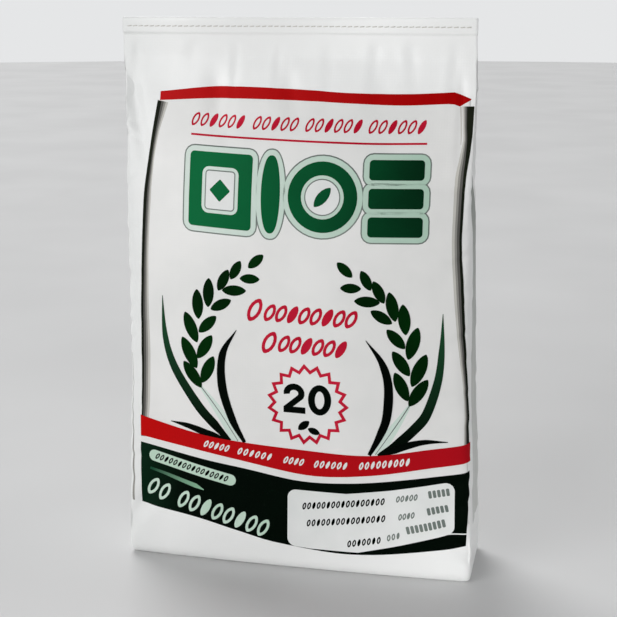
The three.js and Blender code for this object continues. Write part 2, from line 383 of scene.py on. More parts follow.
def panel_rings(z):
    """Each level as four panels: front, right side, back and left side."""
    width, middle, crease, side = (level_value(c, z)[:, None] for c in (WIDTH, MIDDLE, CREASE, SIDE))
    s = 2 * np.arange(FACE_STEPS) / FACE_STEPS - 1
    r = 2 * np.arange(SIDE_STEPS) / SIDE_STEPS - 1
    bulge = (middle - crease) * (1 - np.abs(s) ** FACE_FULLNESS)
    out = side * (1 - np.abs(r) ** SIDE_FULLNESS)
    x = np.concatenate([s * width, width + out, -s * width, -width - out], axis=1)
    y = np.concatenate([-crease - bulge, r * crease, crease + bulge, -r * crease], axis=1)
    return np.stack([x, y], axis=2)


def rounded(rings, spread):
    """Rings with soft creases, by averaging neighbours until the wanted spread is reached."""
    spacing = 2 * FACE_HALF_WIDTH / FACE_STEPS
    passes = 2 * (spread / spacing) ** 2
    for done in range(math.ceil(passes.max())):
        share = (np.clip(passes - done, 0, 1) / 4)[:, None, None]
        around = np.roll(rings, 1, axis=1) + np.roll(rings, -1, axis=1)
        rings = rings + share * (around - 2 * rings)
    return rings


def fold_depth(folds, across, up):
    total = np.zeros_like(across)
    for (x0, z0), (x1, z1), depth, width in folds:
        dx, dz = x1 - x0, z1 - z0
        t = np.clip(((across - x0) * dx + (up - z0) * dz) / (dx * dx + dz * dz), 0, 1)
        gap = np.hypot(across - x0 - t * dx, up - z0 - t * dz)
        total += depth * (1 - t * t) * np.exp(-((gap / width) ** 2))
    return total


def sack_grid(z):
    """The rings, folded, turned at the foot, and leaning and waving at the top."""
    rings = rounded(panel_rings(z), level_value(ROUNDING, z))
    x, y = rings[:, :, 0], rings[:, :, 1]
    place = np.arange(RING) % HALF
    across = np.broadcast_to(FACE_HALF_WIDTH * (2 * place / FACE_STEPS - 1), x.shape)
    up = np.broadcast_to(z[:, None], x.shape)
    front = fold_depth(FRONT_FOLDS, across, up)
    back = -fold_depth(BACK_FOLDS, across, up)
    depth = np.where(np.arange(RING) < HALF, front, back)
    room = smoothstep(level_value(MIDDLE, z), *FOLD_ROOM)[:, None]
    y = y + np.where(place <= FACE_STEPS, depth, 0) * room
    lean = (np.clip(z - LEAN_FROM, 0, None) / (HEIGHT - LEAN_FROM))[:, None]
    slack = (np.clip(z - WAVE_FROM, 0, None) / (HEIGHT - WAVE_FROM))[:, None]
    wave = WAVE_DEPTH * slack ** 2 * np.sin(2 * math.pi * x / WAVE_LENGTH + WAVE_START)
    turn = (FOOT_TURN_SLOPE * (1 - smoothstep(z, 0, FOOT_TURN_TO)))[:, None]
    back = turn * x + wave + LEAN_BACK * lean ** 2
    return np.stack([x + level_value(ACROSS, z)[:, None], y + back, up], axis=2)


def grid_normals(grid):
    around = np.roll(grid, -1, axis=1) - np.roll(grid, 1, axis=1)
    upward = np.gradient(grid, axis=0)
    return unit(np.cross(around, upward))


def dents(depth, cell_across, cell_up, seed):
    """Smooth random relief over the skin that closes on itself round the ring."""
    around = 4 * FACE_HALF_WIDTH + 4 * SIDE_HALF_WIDTH
    n_around, n_up = max(3, round(around / cell_across)), math.ceil(HEIGHT / cell_up) + 4
    values = np.random.default_rng(seed).standard_normal((n_up, n_around))

    def weights(t):
        return [(1 - t) ** 3 / 6, (3 * t ** 3 - 6 * t * t + 4) / 6,
                (-3 * t ** 3 + 3 * t * t + 3 * t + 1) / 6, t ** 3 / 6]

    u = np.arange(RING) / RING * n_around
    v = ROWS / cell_up
    iu, iv = np.floor(u).astype(int), np.floor(v).astype(int)
    wu, wv = weights(u - iu), weights(v - iv)
    total = np.zeros((len(ROWS), RING))
    for j in range(4):
        for i in range(4):
            total += values[(iv + j)[:, None], ((iu + i) % n_around)[None, :]] * wv[j][:, None] * wu[i]
    return total / NOISE_SPREAD * depth


def crease_profile(around, up, middle, slant, length, width, depth):
    """A shallow valley with a low ridge beside it, fading out at both ends."""
    turn = RING * COLUMN_PITCH
    du = (around - middle[0] + turn / 2) % turn - turn / 2
    dz = up - middle[1]
    along = (du * math.cos(slant) + dz * math.sin(slant)) / (length / 2)
    beside = (dz * math.cos(slant) - du * math.sin(slant)) / width
    shape = np.exp(-(beside ** 2)) - RIDGE_SHARE * np.exp(-((beside - RIDGE_PLACE) ** 2))
    return -depth * shape * np.exp(-(along ** 2) * CREASE_TAPER)


def crease_relief(seed):
    rng = np.random.default_rng(seed)
    around, up = np.meshgrid(COLUMN_PITCH * np.arange(RING), ROWS)
    relief = np.zeros_like(around)

    def crease(middle, slant, sizes):
        length, width, depth = (rng.uniform(*sizes[key]) for key in ("length", "width", "depth"))
        return crease_profile(around, up, middle, slant, length, width, depth)

    for edge in (0, FACE_STEPS, HALF, HALF + FACE_STEPS):
        z = BUCKLES_FROM
        while z < BUCKLES_TO:
            middle = (edge * COLUMN_PITCH + rng.uniform(-BUCKLE_SCATTER, BUCKLE_SCATTER), z)
            relief += crease(middle, rng.uniform(-BUCKLE_SLANT, BUCKLE_SLANT), BUCKLES)
            z += rng.uniform(*BUCKLE_GAP)
    for first_column in (FRONT, BACK):
        for i in range(PLEAT_COUNT):
            across = (i + rng.uniform(0.2, 0.8)) / PLEAT_COUNT * 2 * FACE_HALF_WIDTH
            middle = (first_column * COLUMN_PITCH + across, PLEATS_TOP - rng.uniform(0, PLEAT_SCATTER))
            relief += crease(middle, math.pi / 2 + rng.uniform(-PLEAT_SLANT, PLEAT_SLANT), PLEATS)
    return relief


def fading(fade_in, fade_out):
    return (smoothstep(ROWS, *fade_in) * (1 - smoothstep(ROWS, *fade_out)))[:, None]


def body_grid():
    grid = sack_grid(ROWS)
    normals = grid_normals(grid)
    calm = fading(DENTS_FADE_IN, DENTS_FADE_OUT)
    place = np.arange(RING) % HALF
    from_edge = np.minimum(place, np.abs(place - FACE_STEPS)) * COLUMN_PITCH
    near_edge = np.where(place > FACE_STEPS, 1, 1 - smoothstep(from_edge, *EDGE_ZONE))[None, :]
    relief = (dents(*WIDE_DENTS) + dents(*SMALL_DENTS)) * calm
    relief += (FINE_SHARE + FINE_SHARE_AT_EDGES * near_edge) * dents(*FINE_DENTS) * calm
    from_middle = (place - FACE_STEPS - SIDE_STEPS / 2) * COLUMN_PITCH
    relief -= GUSSET_CREASE_DEPTH * np.exp(-((from_middle / GUSSET_CREASE_WIDTH) ** 2)) * calm
    relief += crease_relief(CREASE_SEED) * fading(CREASES_FADE_IN, CREASES_FADE_OUT)
    return grid + normals * relief[:, :, None]


GRID = body_grid()
NORMALS = grid_normals(GRID)


# Materials

def node_material(name):
    material = bpy.data.materials.new(name)
    material.use_nodes = True
    tree = material.node_tree
    return material, tree, tree.nodes["Principled BSDF"]


def link(tree, source, output, target, socket):
    tree.links.new(source.outputs[output], target.inputs[socket])


def add_node(tree, kind, values):
    node = tree.nodes.new(f"ShaderNode{kind}")
    for socket, value in values.items():
        node.inputs[socket].default_value = value
    return node


def noise(tree, scale, detail, stretch=(1, 1, 1)):
    place = add_node(tree, "TexCoord", {})
    mapping = add_node(tree, "Mapping", {"Scale": stretch})
    texture = add_node(tree, "TexNoise", {"Scale": scale, "Detail": detail})
    link(tree, place, "Object", mapping, "Vector")
    link(tree, mapping, "Vector", texture, "Vector")
    return texture


def colour_ramp(tree, low, high, start=0.35, end=0.65):
    ramp = add_node(tree, "ValToRGB", {})
    for stop, place, colour in zip(ramp.color_ramp.elements, (start, end), (low, high)):
        stop.position = place
        stop.color = (*colour, 1)
    return ramp


def map_range(tree, source, output, start, end, low=0.0, high=1.0):
    ends = {"From Min": start, "From Max": end, "To Min": low, "To Max": high}
    span = add_node(tree, "MapRange", ends)
    link(tree, source, output, span, "Value")
    return span


def bump(tree, height, strength, distance, below=None):
    relief = add_node(tree, "Bump", {"Strength": strength, "Distance": distance})
    link(tree, height, "Fac", relief, "Height")
    if below is not None:
        link(tree, below, "Normal", relief, "Normal")
    return relief


def film_bump(tree, shader):
    """The tapes of the weave and fine crinkles, as they show through the laminate."""
    place = add_node(tree, "TexCoord", {})
    relief = None
    for direction in ("X", "Z"):
        tapes = add_node(tree, "TexWave", {"Scale": WEAVE_SCALE, "Distortion": WEAVE_DISTORTION})
        tapes.bands_direction = direction
        link(tree, place, "Object", tapes, "Vector")
        relief = bump(tree, tapes, *WEAVE_BUMP, relief)
    relief = bump(tree, noise(tree, CRINKLE_SCALE, 3), *CRINKLE_BUMP, relief)
    link(tree, relief, "Normal", shader, "Normal")


def colour_place(tree, along, stretch):
    """Where an ink is between its two colours: mottled, and along an axis if one is given."""
    mottle = noise(tree, MOTTLE_SCALE, 3, stretch)
    if along is None:
        return map_range(tree, mottle, "Fac", 0.35, 0.65), "Result"
    axis, start, end = along
    parts = add_node(tree, "SeparateXYZ", {})
    link(tree, add_node(tree, "TexCoord", {}), "Object", parts, "Vector")
    span = map_range(tree, parts, axis, start * MM, end * MM, -MOTTLE / 2, 1 - MOTTLE / 2)
    total = add_node(tree, "Math", {1: MOTTLE})
    total.operation = "MULTIPLY_ADD"
    link(tree, mottle, "Fac", total, 0)
    link(tree, span, "Result", total, 2)
    return total, "Value"


def laminate(name, low, high, along=None, stretch=(1, 1, 1), roughness=0.4, specular=0.02, coat=0.0):
    material, tree, shader = node_material(name)
    shader.inputs["Specular IOR Level"].default_value = specular
    shader.inputs["Coat Weight"].default_value = coat
    shader.inputs["Coat Roughness"].default_value = COAT_ROUGHNESS
    ramp = colour_ramp(tree, low, high, 0, 1)
    source, output = colour_place(tree, along, stretch)
    link(tree, source, output, ramp, "Fac")
    link(tree, ramp, "Color", shader, "Base Color")
    smoother, rougher = (roughness + change for change in GLOSS_SPREAD)
    gloss = map_range(tree, noise(tree, GLOSS_SCALE, 2), "Fac", 0, 1, smoother, rougher)
    link(tree, gloss, "Result", shader, "Roughness")
    film_bump(tree, shader)
    return material


def make_inks():
    """Each ink's material, with the record's slot for it."""
    inks = {"ground": (laminate("ground ink", *GROUND, **GROUND_GLOSS), "woven_plastic")}
    for slot, looks in INKS.items():
        for word, look in looks.items():
            inks[word] = laminate(f"{word} ink", *look), slot
    # Painted fold shade, as grey tones in the grey ink's slot
    for word, tone in FOLD_SHADE_TONES.items():
        low, high = ([tone * tint for tint in tints] for tints in (FOLD_SHADE_TINT, FOLD_SHADE_TINT_END))
        inks[word] = laminate(f"painted fold shade {tone}", low, high), "grey_ink"
    return inks


def make_thread():
    material, tree, shader = node_material("thread")
    shader.inputs["Roughness"].default_value = 0.8
    ramp = colour_ramp(tree, *THREAD_COLOURS)
    link(tree, noise(tree, 900, 2), "Fac", ramp, "Fac")
    link(tree, ramp, "Color", shader, "Base Color")
    return material


# Flat shapes, each a list of outlines of [across, up] points

def smooth_curve(points):
    """Points along a Catmull-Rom curve through the given ones."""
    p = np.array(points, float)
    p = np.concatenate([[2 * p[0] - p[1]], p, [2 * p[-1] - p[-2]]])
    out = []
    for a, b, c, d in zip(p[:-3], p[1:-2], p[2:-1], p[3:]):
        for t in np.arange(SPAN_STEPS) / SPAN_STEPS:
            out.append(0.5 * (2 * b + (c - a) * t + (2 * a - 5 * b + 4 * c - d) * t * t
                              + (3 * b - a - 3 * c + d) * t ** 3))
    out.append(p[-2])
    return np.array(out)


def spread_along(points, values):
    """One value for each point, from values spread evenly over the points."""
    return np.interp(np.linspace(0, 1, len(points)), np.linspace(0, 1, len(values)), values)


def height_along(points, across):
    curve = smooth_curve(points)
    return np.interp(across, curve[:, 0], curve[:, 1])


def band(lower, upper, start, end, step=BAND_STEP):
    """The area between two curves that run across."""
    xs = np.linspace(start, end, max(2, round((end - start) / step)) + 1)
    low, high = height_along(lower, xs), height_along(upper, xs)
    return [[(xs[i], low[i]), (xs[i + 1], low[i + 1]), (xs[i + 1], high[i + 1]), (xs[i], high[i])]
            for i in range(len(xs) - 1)]


def stroke(path, widths, closed=False):
    """A line of changing width, mitred at its corners."""
    p = np.array(path, float)
    before = p - np.roll(p, 1, axis=0)
    after = np.roll(p, -1, axis=0) - p
    if not closed:
        before[0], after[-1] = after[0], before[-1]
    before, after = unit(before), unit(after)
    mean = unit(before + after)
    mitre = 1 / np.clip((mean * before).sum(axis=1), 0.5, 1)
    side = np.stack([-mean[:, 1], mean[:, 0]], axis=1) * (spread_along(p, widths) / 2 * mitre)[:, None]
    left, right = p + side, p - side
    count = len(p) if closed else len(p) - 1
    return [[right[i], right[(i + 1) % len(p)], left[(i + 1) % len(p)], left[i]] for i in range(count)]


def between(inner, outer):
    """The area between two closed outlines with as many points."""
    count = len(outer)
    return [[inner[i], outer[i], outer[(i + 1) % count], inner[(i + 1) % count]] for i in range(count)]


def ellipse(middle, half_width, half_height, points):
    angle = np.arange(points) * 2 * math.pi / points
    return np.array(middle) + np.stack([half_width * np.cos(angle), half_height * np.sin(angle)], axis=1)


def ring(middle, outer, inner, points):
    return between(ellipse(middle, *inner, points), ellipse(middle, *outer, points))


def disc(middle, radius, points):
    return [ellipse(middle, radius, radius, points)]


def turned(points, middle, angle):
    c, s = math.cos(angle), math.sin(angle)
    return [(middle[0] + x * c - z * s, middle[1] + x * s + z * c) for x, z in points]


def grain(middle, length, width, angle, blunt=0.75, points=9):
    """A rice grain or leaf: a lens with its long axis at an angle from the across direction."""
    angle_along = np.linspace(-math.pi / 2, math.pi / 2, points)
    t = np.sin(angle_along)
    rim = width / 2 * np.abs(np.cos(angle_along)) ** (2 * blunt)
    upper = [(length / 2 * a, b) for a, b in zip(t, rim)]
    lower = [(length / 2 * a, -b) for a, b in zip(t[1:-1], rim[1:-1])]
    return [turned(lower + upper[::-1], middle, angle)]


def hollow_grain(middle, length, width, angle, pen):
    """The outline of a grain, drawn with a pen of the given width."""
    outer = grain(middle, length, width, angle, HOLLOW_BLUNT)[0]
    inner = grain(middle, length - 2.8 * pen, width - 2 * pen, angle, HOLLOW_BLUNT)[0]
    return between(inner, outer)


def rounded_outline(corners, radius):
    """An outline whose corners, given counter-clockwise, are rounded to the same radius."""
    outline = []
    p = np.array(corners, float)
    for before, corner, after in zip(np.roll(p, 1, axis=0), p, np.roll(p, -1, axis=0)):
        back, on = unit(before - corner), unit(after - corner)
        half = math.acos(np.clip(back @ on, -1, 1)) / 2
        reach = radius / math.tan(half)
        middle = corner + unit(back + on) * radius / math.sin(half)
        start, end = corner + back * reach - middle, corner + on * reach - middle
        for t in np.linspace(0, 1, ARC_POINTS):
            outline.append(middle + unit(start * (1 - t) + end * t) * radius)
    return [outline]


def rounded_box(middle, width, height, radius, angle=0.0, corner_points=5):
    points = []
    for quarter in range(4):
        cx = (width / 2 - radius) * (1 if quarter in (0, 3) else -1)
        cz = (height / 2 - radius) * (1 if quarter in (0, 1) else -1)
        for step in range(corner_points):
            a = (quarter + step / (corner_points - 1)) * math.pi / 2
            points.append((cx + radius * math.cos(a), cz + radius * math.sin(a)))
    return [turned(points, middle, angle)]


def along_row(start, end, count):
    slope = math.atan2(end[1] - start[1], end[0] - start[0])
    shares = [(i + 0.5) / count for i in range(count)]
    return slope, [(start[0] + (end[0] - start[0]) * t, start[1] + (end[1] - start[1]) * t) for t in shares]


def marks(start, end, count, length, width, tilt, pen):
    """A row of small grains, tilted one way. Every third one is full and the rest are hollow."""
    slope, places = along_row(start, end, count)
    angle = slope + math.radians(tilt)
    shapes = []
    for i, middle in enumerate(places):
        if i % 3 == 2:
            shapes += grain(middle, length, width * 0.8, angle, blunt=0.6)
        else:
            shapes += hollow_grain(middle, length, width, angle, pen)
    return shapes


def mark_rows(rows, style):
    return [shape for row in rows for shape in marks(*row, *style)]


def bars(start, end, count, height):
    slope, places = along_row(start, end, count)
    width = math.dist(start, end) / count * BAR_FILL
    shapes = []
    for middle in places:
        shapes += rounded_box(middle, width, height, BAR_RADIUS, slope, corner_points=3)
    return shapes


# Putting flat shapes on the skin

def on_skin(across, up, lift, first_column):
    """Where flat points lie on a face that starts at the given column, lifted along its normal."""
    column = (across / FACE_HALF_WIDTH + 1) / 2 * FACE_STEPS
    row = np.interp(up, ROWS, np.arange(len(ROWS)))
    i = np.floor(column).astype(int)
    j = np.clip(np.floor(row).astype(int), 0, len(ROWS) - 2)
    s, t = (column - i)[:, None], (row - j)[:, None]
    near, far = (i + first_column) % RING, (i + 1 + first_column) % RING

    def blend(field):
        low = field[j, near] * (1 - s) + field[j, far] * s
        high = field[j + 1, near] * (1 - s) + field[j + 1, far] * s
        return low * (1 - t) + high * t

    return blend(GRID) + blend(NORMALS) * np.reshape(lift, (-1, 1))


def cut_at_lines(bm, axis, lines):
    values = [v.co[axis] for v in bm.verts]
    low, high = min(values), max(values)
    normal = Vector(np.eye(3)[axis])
    for line in lines:
        if low + 0.01 < line < high - 0.01:
            parts = bm.verts[:] + bm.edges[:] + bm.faces[:]
            bmesh.ops.bisect_plane(bm, geom=parts, dist=0.0005, plane_co=normal * line, plane_no=normal)


def on_flat(outline, first_column):
    """Points of the standing front or back, as places on the flat face that the grid is counted on."""
    points = np.array(outline, float)
    across, up = points[:, 0], points[:, 1]
    if first_column == FRONT:
        level = PRINT_ZERO + across - level_value(ACROSS, up)
    else:
        level = across - PRINT_MIDDLE
    return np.stack([level / level_value(WIDTH, up) * FACE_HALF_WIDTH, up], axis=1).tolist()


def ink_shell(shapes, first_column, lift):
    """Points and faces of a thin closed shell of ink that follows the skin's own facets."""
    bm = bmesh.new()
    for outline in shapes:
        bm.faces.new([bm.verts.new((x, z, 0)) for x, z in outline])
    bmesh.ops.remove_doubles(bm, verts=bm.verts[:], dist=0.01)
    bmesh.ops.dissolve_degenerate(bm, edges=bm.edges[:], dist=0.001)
    bmesh.ops.recalc_face_normals(bm, faces=bm.faces[:])
    cut_at_lines(bm, 0, COLUMNS)
    cut_at_lines(bm, 1, ROWS)
    bmesh.ops.triangulate(bm, faces=bm.faces[:])
    bm.verts.index_update()
    flat = np.array([v.co[:2] for v in bm.verts])
    faces = []
    for f in bm.faces:
        loop = [v.index for v in f.verts]
        area = np.cross(flat[loop[1]] - flat[loop[0]], flat[loop[2]] - flat[loop[0]])
        faces.append(loop if area > 0 else loop[::-1])
    bm.free()
    return closed_shell(flat, faces, first_column, lift)


def closed_shell(flat, faces, first_column, lift):
    """The flat faces laid on the skin and lifted, the same faces below, and walls round the rim."""
    rim = {(a, b) for f in faces for a, b in zip(f, f[1:] + f[:1])}
    rim = [(a, b) for a, b in rim if (b, a) not in rim]
    count = len(flat)
    top = on_skin(flat[:, 0], flat[:, 1], lift, first_column)
    bottom = on_skin(flat[:, 0], flat[:, 1], -SHELL_DEPTH, first_column)
    walls = [[b, a, a + count, b + count] for a, b in sorted(rim)]
    under = [[i + count for i in f[::-1]] for f in faces]
    return np.concatenate([top, bottom]), faces + under + walls


def shell_piece(name, shells, material, slot):
    points, faces = [], []
    for shell_points, shell_faces in shells:
        faces += [[i + len(points) for i in f] for f in shell_faces]
        points += shell_points.tolist()
    piece = mesh_piece(name, points, faces, material)
    return piece


def print_piece(name, shapes, layer, material, slot):
    """The same print on the front and on the back."""
    shells = []
    for face in (FRONT, BACK):
        flat = [on_flat(outline, face) for outline in shapes]
        shells.append(ink_shell(flat, face, layer * LAYER_STEP))
    shell_piece(name, shells, material, slot)


def add_object(name, data):
    thing = bpy.data.objects.new(name, data)
    bpy.context.scene.collection.objects.link(thing)
    return thing


def mesh_piece(name, points, faces, material):
    mesh = bpy.data.meshes.new(name)
    mesh.from_pydata((np.asarray(points) * MM).tolist(), [], faces)
    mesh.materials.append(material)
    mesh.validate()
    mesh.update()
    piece = add_object(name, mesh)
    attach(piece, "root")
    return piece


def tube_faces(rings, sides):
    faces = []
    for j in range(rings - 1):
        for k in range(sides):
            a, b = j * sides + k, j * sides + (k + 1) % sides
            faces.append([a, b, b + sides, a + sides])
    return faces


def shade_smooth(piece):
    piece.data.polygons.foreach_set("use_smooth", [True] * len(piece.data.polygons))


# The skin

def end_cap(first, faces_up):
    """A ladder of faces across one end ring, from its left side to its right side."""
    left = RING - SIDE_STEPS // 2
    faces = []
    for j in range(HALF):
        a, b, c, d = (first + (left + step) % RING for step in (j, j + 1, -j - 1, -j))
        if j == 0:
            loop = [a, b, c]
        elif j == HALF - 1:
            loop = [a, b, d]
        else:
            loop = [a, b, c, d]
        faces.append(loop if faces_up else loop[::-1])
    return faces


def make_skin(material):
    rows = len(ROWS)
    faces = tube_faces(rows, RING) + end_cap(0, False) + end_cap((rows - 1) * RING, True)
    skin = mesh_piece("sack_skin", GRID.reshape(-1, 3), faces, material)
    shade_smooth(skin)
    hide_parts("sack")


# The print, with painted fold shade laid on the same way. Each function gives its pieces as name, layer,
# ink and flat shapes.

def sagging(shapes):
    """Shapes whose lines rise a little to both sides of their lowest place."""
    return [[(x, z + SAG * ((x - SAG_MIDDLE) / SAG_REACH) ** 2) for x, z in outline] for outline in shapes]


def top_prints():
    yield "top_band", 2, "band", band(TOP_BAND_BOTTOM, TOP_BAND_TOP, *TOP_BAND_ENDS, BAND_STEP / 2)
    yield "small_grains", 2, "crimson", sagging(mark_rows(SMALL_ROWS, SMALL_GRAIN))
    yield "rule", 2, "crimson", stroke(smooth_curve(RULE_CURVE), [RULE_PEN])


def grown_box(across, up, width, height, radius, grow):
    return rounded_box((across, up), width + 2 * grow, height + 2 * grow, radius + grow)


def block_shapes(grow):
    """The row of four large shapes, grown by the width of an outline."""
    across, length, width = TALL_GRAIN
    tall = grain((across, BLOCKS_UP), length + 2 * grow, width + 2 * grow, math.pi / 2, 0.4, 25)
    wheel = disc((WHEEL_ACROSS, BLOCKS_UP), WHEEL_RADIUS + grow, 40)
    stack = []
    for row in (-1, 0, 1):
        stack += grown_box(STACK_ACROSS, BLOCKS_UP + STACK_PITCH * row, *STACK_BAR, grow)
    return grown_box(SQUARE_ACROSS, BLOCKS_UP, *SQUARE, grow) + tall + wheel + stack


def window_shapes(grow):
    in_wheel = disc((WHEEL_ACROSS, BLOCKS_UP), WHEEL_WINDOW_RADIUS + grow, 32)
    return grown_box(SQUARE_ACROSS, BLOCKS_UP, *SQUARE_WINDOW, grow) + in_wheel


def block_prints():
    diamond = rounded_box((SQUARE_ACROSS, BLOCKS_UP), *DIAMOND, math.radians(45))
    leaf = grain((WHEEL_ACROSS, BLOCKS_UP), *WHEEL_LEAF, math.radians(50))
    yield "block_lines", 1, "grey", sagging(block_shapes(BLOCK_LINE))
    yield "block_edges", 2, "pale green", sagging(block_shapes(BLOCK_EDGE))
    yield "blocks", 3, "green", sagging(block_shapes(0))
    yield "window_edges", 4, "pale green", sagging(window_shapes(WINDOW_EDGE))
    yield "window_lines", 5, "grey", sagging(window_shapes(WINDOW_LINE))
    yield "windows", 6, "white", sagging(window_shapes(0))
    yield "window_marks", 7, "green", sagging(diamond + leaf)


def ear(side):
    lowest = LEAVES[0][1]
    shapes = []
    for across, up, left_heading, right_heading, length in LEAVES:
        shift = EAR_SHIFT * max(0, 1 - (up - lowest) / (EAR_SHIFT_TOP - lowest))
        foot = np.array([PRINT_MIDDLE + side * across + shift, up - side * EAR_RISE])
        angle = math.radians(right_heading if side > 0 else 180 - left_heading)
        middle = foot + length / 2 * np.array([math.cos(angle), math.sin(angle)])
        width = LEAF_WIDTH + length * LEAF_WIDTH_SHARE
        shapes += grain(middle, length * LEAF_STRETCH, width, angle, blunt=0.72, points=13)
    return shapes


def ear_prints(word):
    side, *lines = EARS[word]
    foot, outer, inner, low = (smooth_curve(line) for line in lines)
    yield f"stem_{word}", 1, "stem", stroke(foot, STEM_WIDTHS)
    yield f"stem_line_{word}", 2, "grey", stroke(foot, STEM_LINE_WIDTHS)
    yield f"outer_blade_{word}", 3, "blade", stroke(outer, OUTER_WIDTHS)
    yield f"ear_{word}", 4, "leaf", ear(side)
    yield f"inner_blade_{word}", 5, "dark", stroke(inner, INNER_WIDTHS)
    yield f"low_blade_{word}", 5, "dark", stroke(low, LOW_WIDTHS)


def red_row_prints():
    shapes = []
    for place, length, row in RED_ROWS:
        shapes += hollow_grain(place, length, FIRST_GRAIN_WIDTH, math.radians(RED_TILT), FIRST_GRAIN_PEN)
        shapes += marks(*row, *RED_GRAIN)
    yield "large_grains", 2, "crimson", shapes


def digit_two(left, foot, width, height, pen):
    """A plain figure two: a hook, a slanting stroke and a flat foot."""
    outer = np.array([width / 2 - 0.5, height * 0.33])
    middle = np.array([left + width / 2 - 0.5, foot + height - outer[1]])
    pairs = []
    for degrees in range(190, -50, -20):
        ray = np.array([math.cos(math.radians(degrees)), math.sin(math.radians(degrees))])
        pairs.append((middle + ray * (outer - pen), middle + ray * outer))
    knee = foot + pen
    pairs.append(((left + 0.5, knee), (left + pen * 1.5, knee)))
    hook = [[a, b, d, c] for (a, b), (c, d) in zip(pairs, pairs[1:])]
    return hook + [[(left, foot), (left + width, foot), (left + width, knee), (left, knee)]]


def badge_prints():
    """A toothed ring with the plain number 20 and two small grains in it."""
    radius = np.tile([BADGE_TIP, BADGE_NOTCH], BADGE_TEETH)
    zigzag = ellipse(BADGE_MIDDLE, radius, radius, 2 * BADGE_TEETH)
    small = []
    for middle, length, width, degrees in BADGE_GRAINS:
        small += grain(middle, length, width, math.radians(degrees))
    yield "badge", 2, "crimson", stroke(zigzag, [BADGE_PEN], closed=True)
    yield "two", 2, "dark", digit_two(*TWO)
    yield "zero", 2, "dark", ring(*ZERO, 28)
    yield "badge_grains", 2, "dark", small


def stripe_prints(word):
    """A dark printed line, with painted fold shade along its inner edge that fades out over a few paler
    lines under it.
    """
    inward, path, widths, fades = STRIPES[word]
    curve = smooth_curve(path)
    fade, width = spread_along(curve, fades), spread_along(curve, widths)
    for extra, layer, tone in FOLD_SHADE_LINES:
        shift = np.stack([inward * extra * fade / 2, np.zeros(len(curve))], axis=1)
        line = stroke(curve + shift, width + extra * fade)
        yield f"{word}_stripe_edge_{layer}", layer, tone, line
    yield f"{word}_stripe", 4, "stripe", stroke(curve, width)


# Painted shadow lines beside a fold and along the left crease
def shadow_line_prints():
    yield "right_fold_shadow_line", 1, "pale fold shade", stroke(RIGHT_FOLD_SHADOW_LINE, RIGHT_FOLD_SHADOW_WIDTHS)
    yield "left_crease_shadow_line", 1, "middle fold shade", stroke(LEFT_CREASE_SHADOW_LINE, LEFT_CREASE_SHADOW_WIDTHS)


def ribbon_prints():
    rows = []
    for *ends, count in RIBBON_GROUPS:
        start, end = ((x, (height_along(RIBBON_TOP, x) + height_along(RIBBON_BOTTOM, x)) / 2) for x in ends)
        rows.append((start, end, count))
    yield "ribbon", 6, "ribbon", band(RIBBON_BOTTOM, RIBBON_TOP, PRINT_LEFT, RIBBON_END)
    yield "ribbon_marks", 7, "white", mark_rows(rows, RIBBON_GRAIN)


def field_prints():
    """The dark field with its bulging right end, and the shapes on its left part."""
    low, high = height_along(FIELD_BOTTOM, FIELD_END), height_along(FIELD_TOP, FIELD_END)
    bulge = [(FIELD_END, low), *((FIELD_END + out, up) for out, up in FIELD_BULGE), (FIELD_END, high)]
    yield "field", 2, "field", band(FIELD_BOTTOM, FIELD_TOP, PRINT_LEFT, FIELD_END) + [bulge]
    yield "pill", 3, "mint", rounded_box(*PILL)
    yield "pill_marks", 4, "dark", mark_rows(PILL_ROWS, PILL_GRAIN)
    yield "thin_line", 3, "teal", stroke(THIN_LINE, THIN_LINE_WIDTHS)
    yield "field_grains", 3, "mint", mark_rows(FIELD_ROWS, FIELD_GRAIN)


def panel_prints():
    grey = mark_rows(PANEL_GREY_ROWS, PANEL_GREY_GRAIN)
    for row in PANEL_BARS:
        grey += bars(*row)
    yield "panel", 3, "white", rounded_outline(PANEL_CORNERS, PANEL_RADIUS)
    yield "panel_line", 4, "white", stroke(PANEL_LINE, [PANEL_LINE_PEN])
    yield "panel_words", 4, "dark", mark_rows(PANEL_DARK_ROWS, PANEL_DARK_GRAIN)
    yield "panel_marks", 4, "grey", grey


def ground_shell(first_column):
    """The printed ground between the stripes, as whole cells of the skin's grid."""
    paths = [smooth_curve(path) for _, path, *_ in STRIPES.values()]
    curves = [np.array(on_flat(path, first_column))[::-1] for path in paths]
    centres = (COLUMNS[1:] + COLUMNS[:-1]) / 2
    index, flat, faces = {}, [], []

    def corner(i, j):
        if (i, j) not in index:
            index[i, j] = len(flat)
            flat.append((COLUMNS[i], ROWS[j]))
        return index[i, j]

    for j in range(len(ROWS) - 1):
        middle = (ROWS[j] + ROWS[j + 1]) / 2
        if GROUND_FROM < middle < GROUND_TO:
            start, end = (np.interp(middle, curve[:, 1], curve[:, 0]) for curve in curves)
            for i in np.flatnonzero((centres > start) & (centres < end)):
                faces.append([corner(i, j), corner(i + 1, j), corner(i + 1, j + 1), corner(i, j + 1)])
    return closed_shell(np.array(flat), faces, first_column, GROUND_LIFT)


def make_ground(ink):
    shells = [ground_shell(face) for face in (FRONT, BACK)]
    shade_smooth(shell_piece("print_ground", shells, *ink))


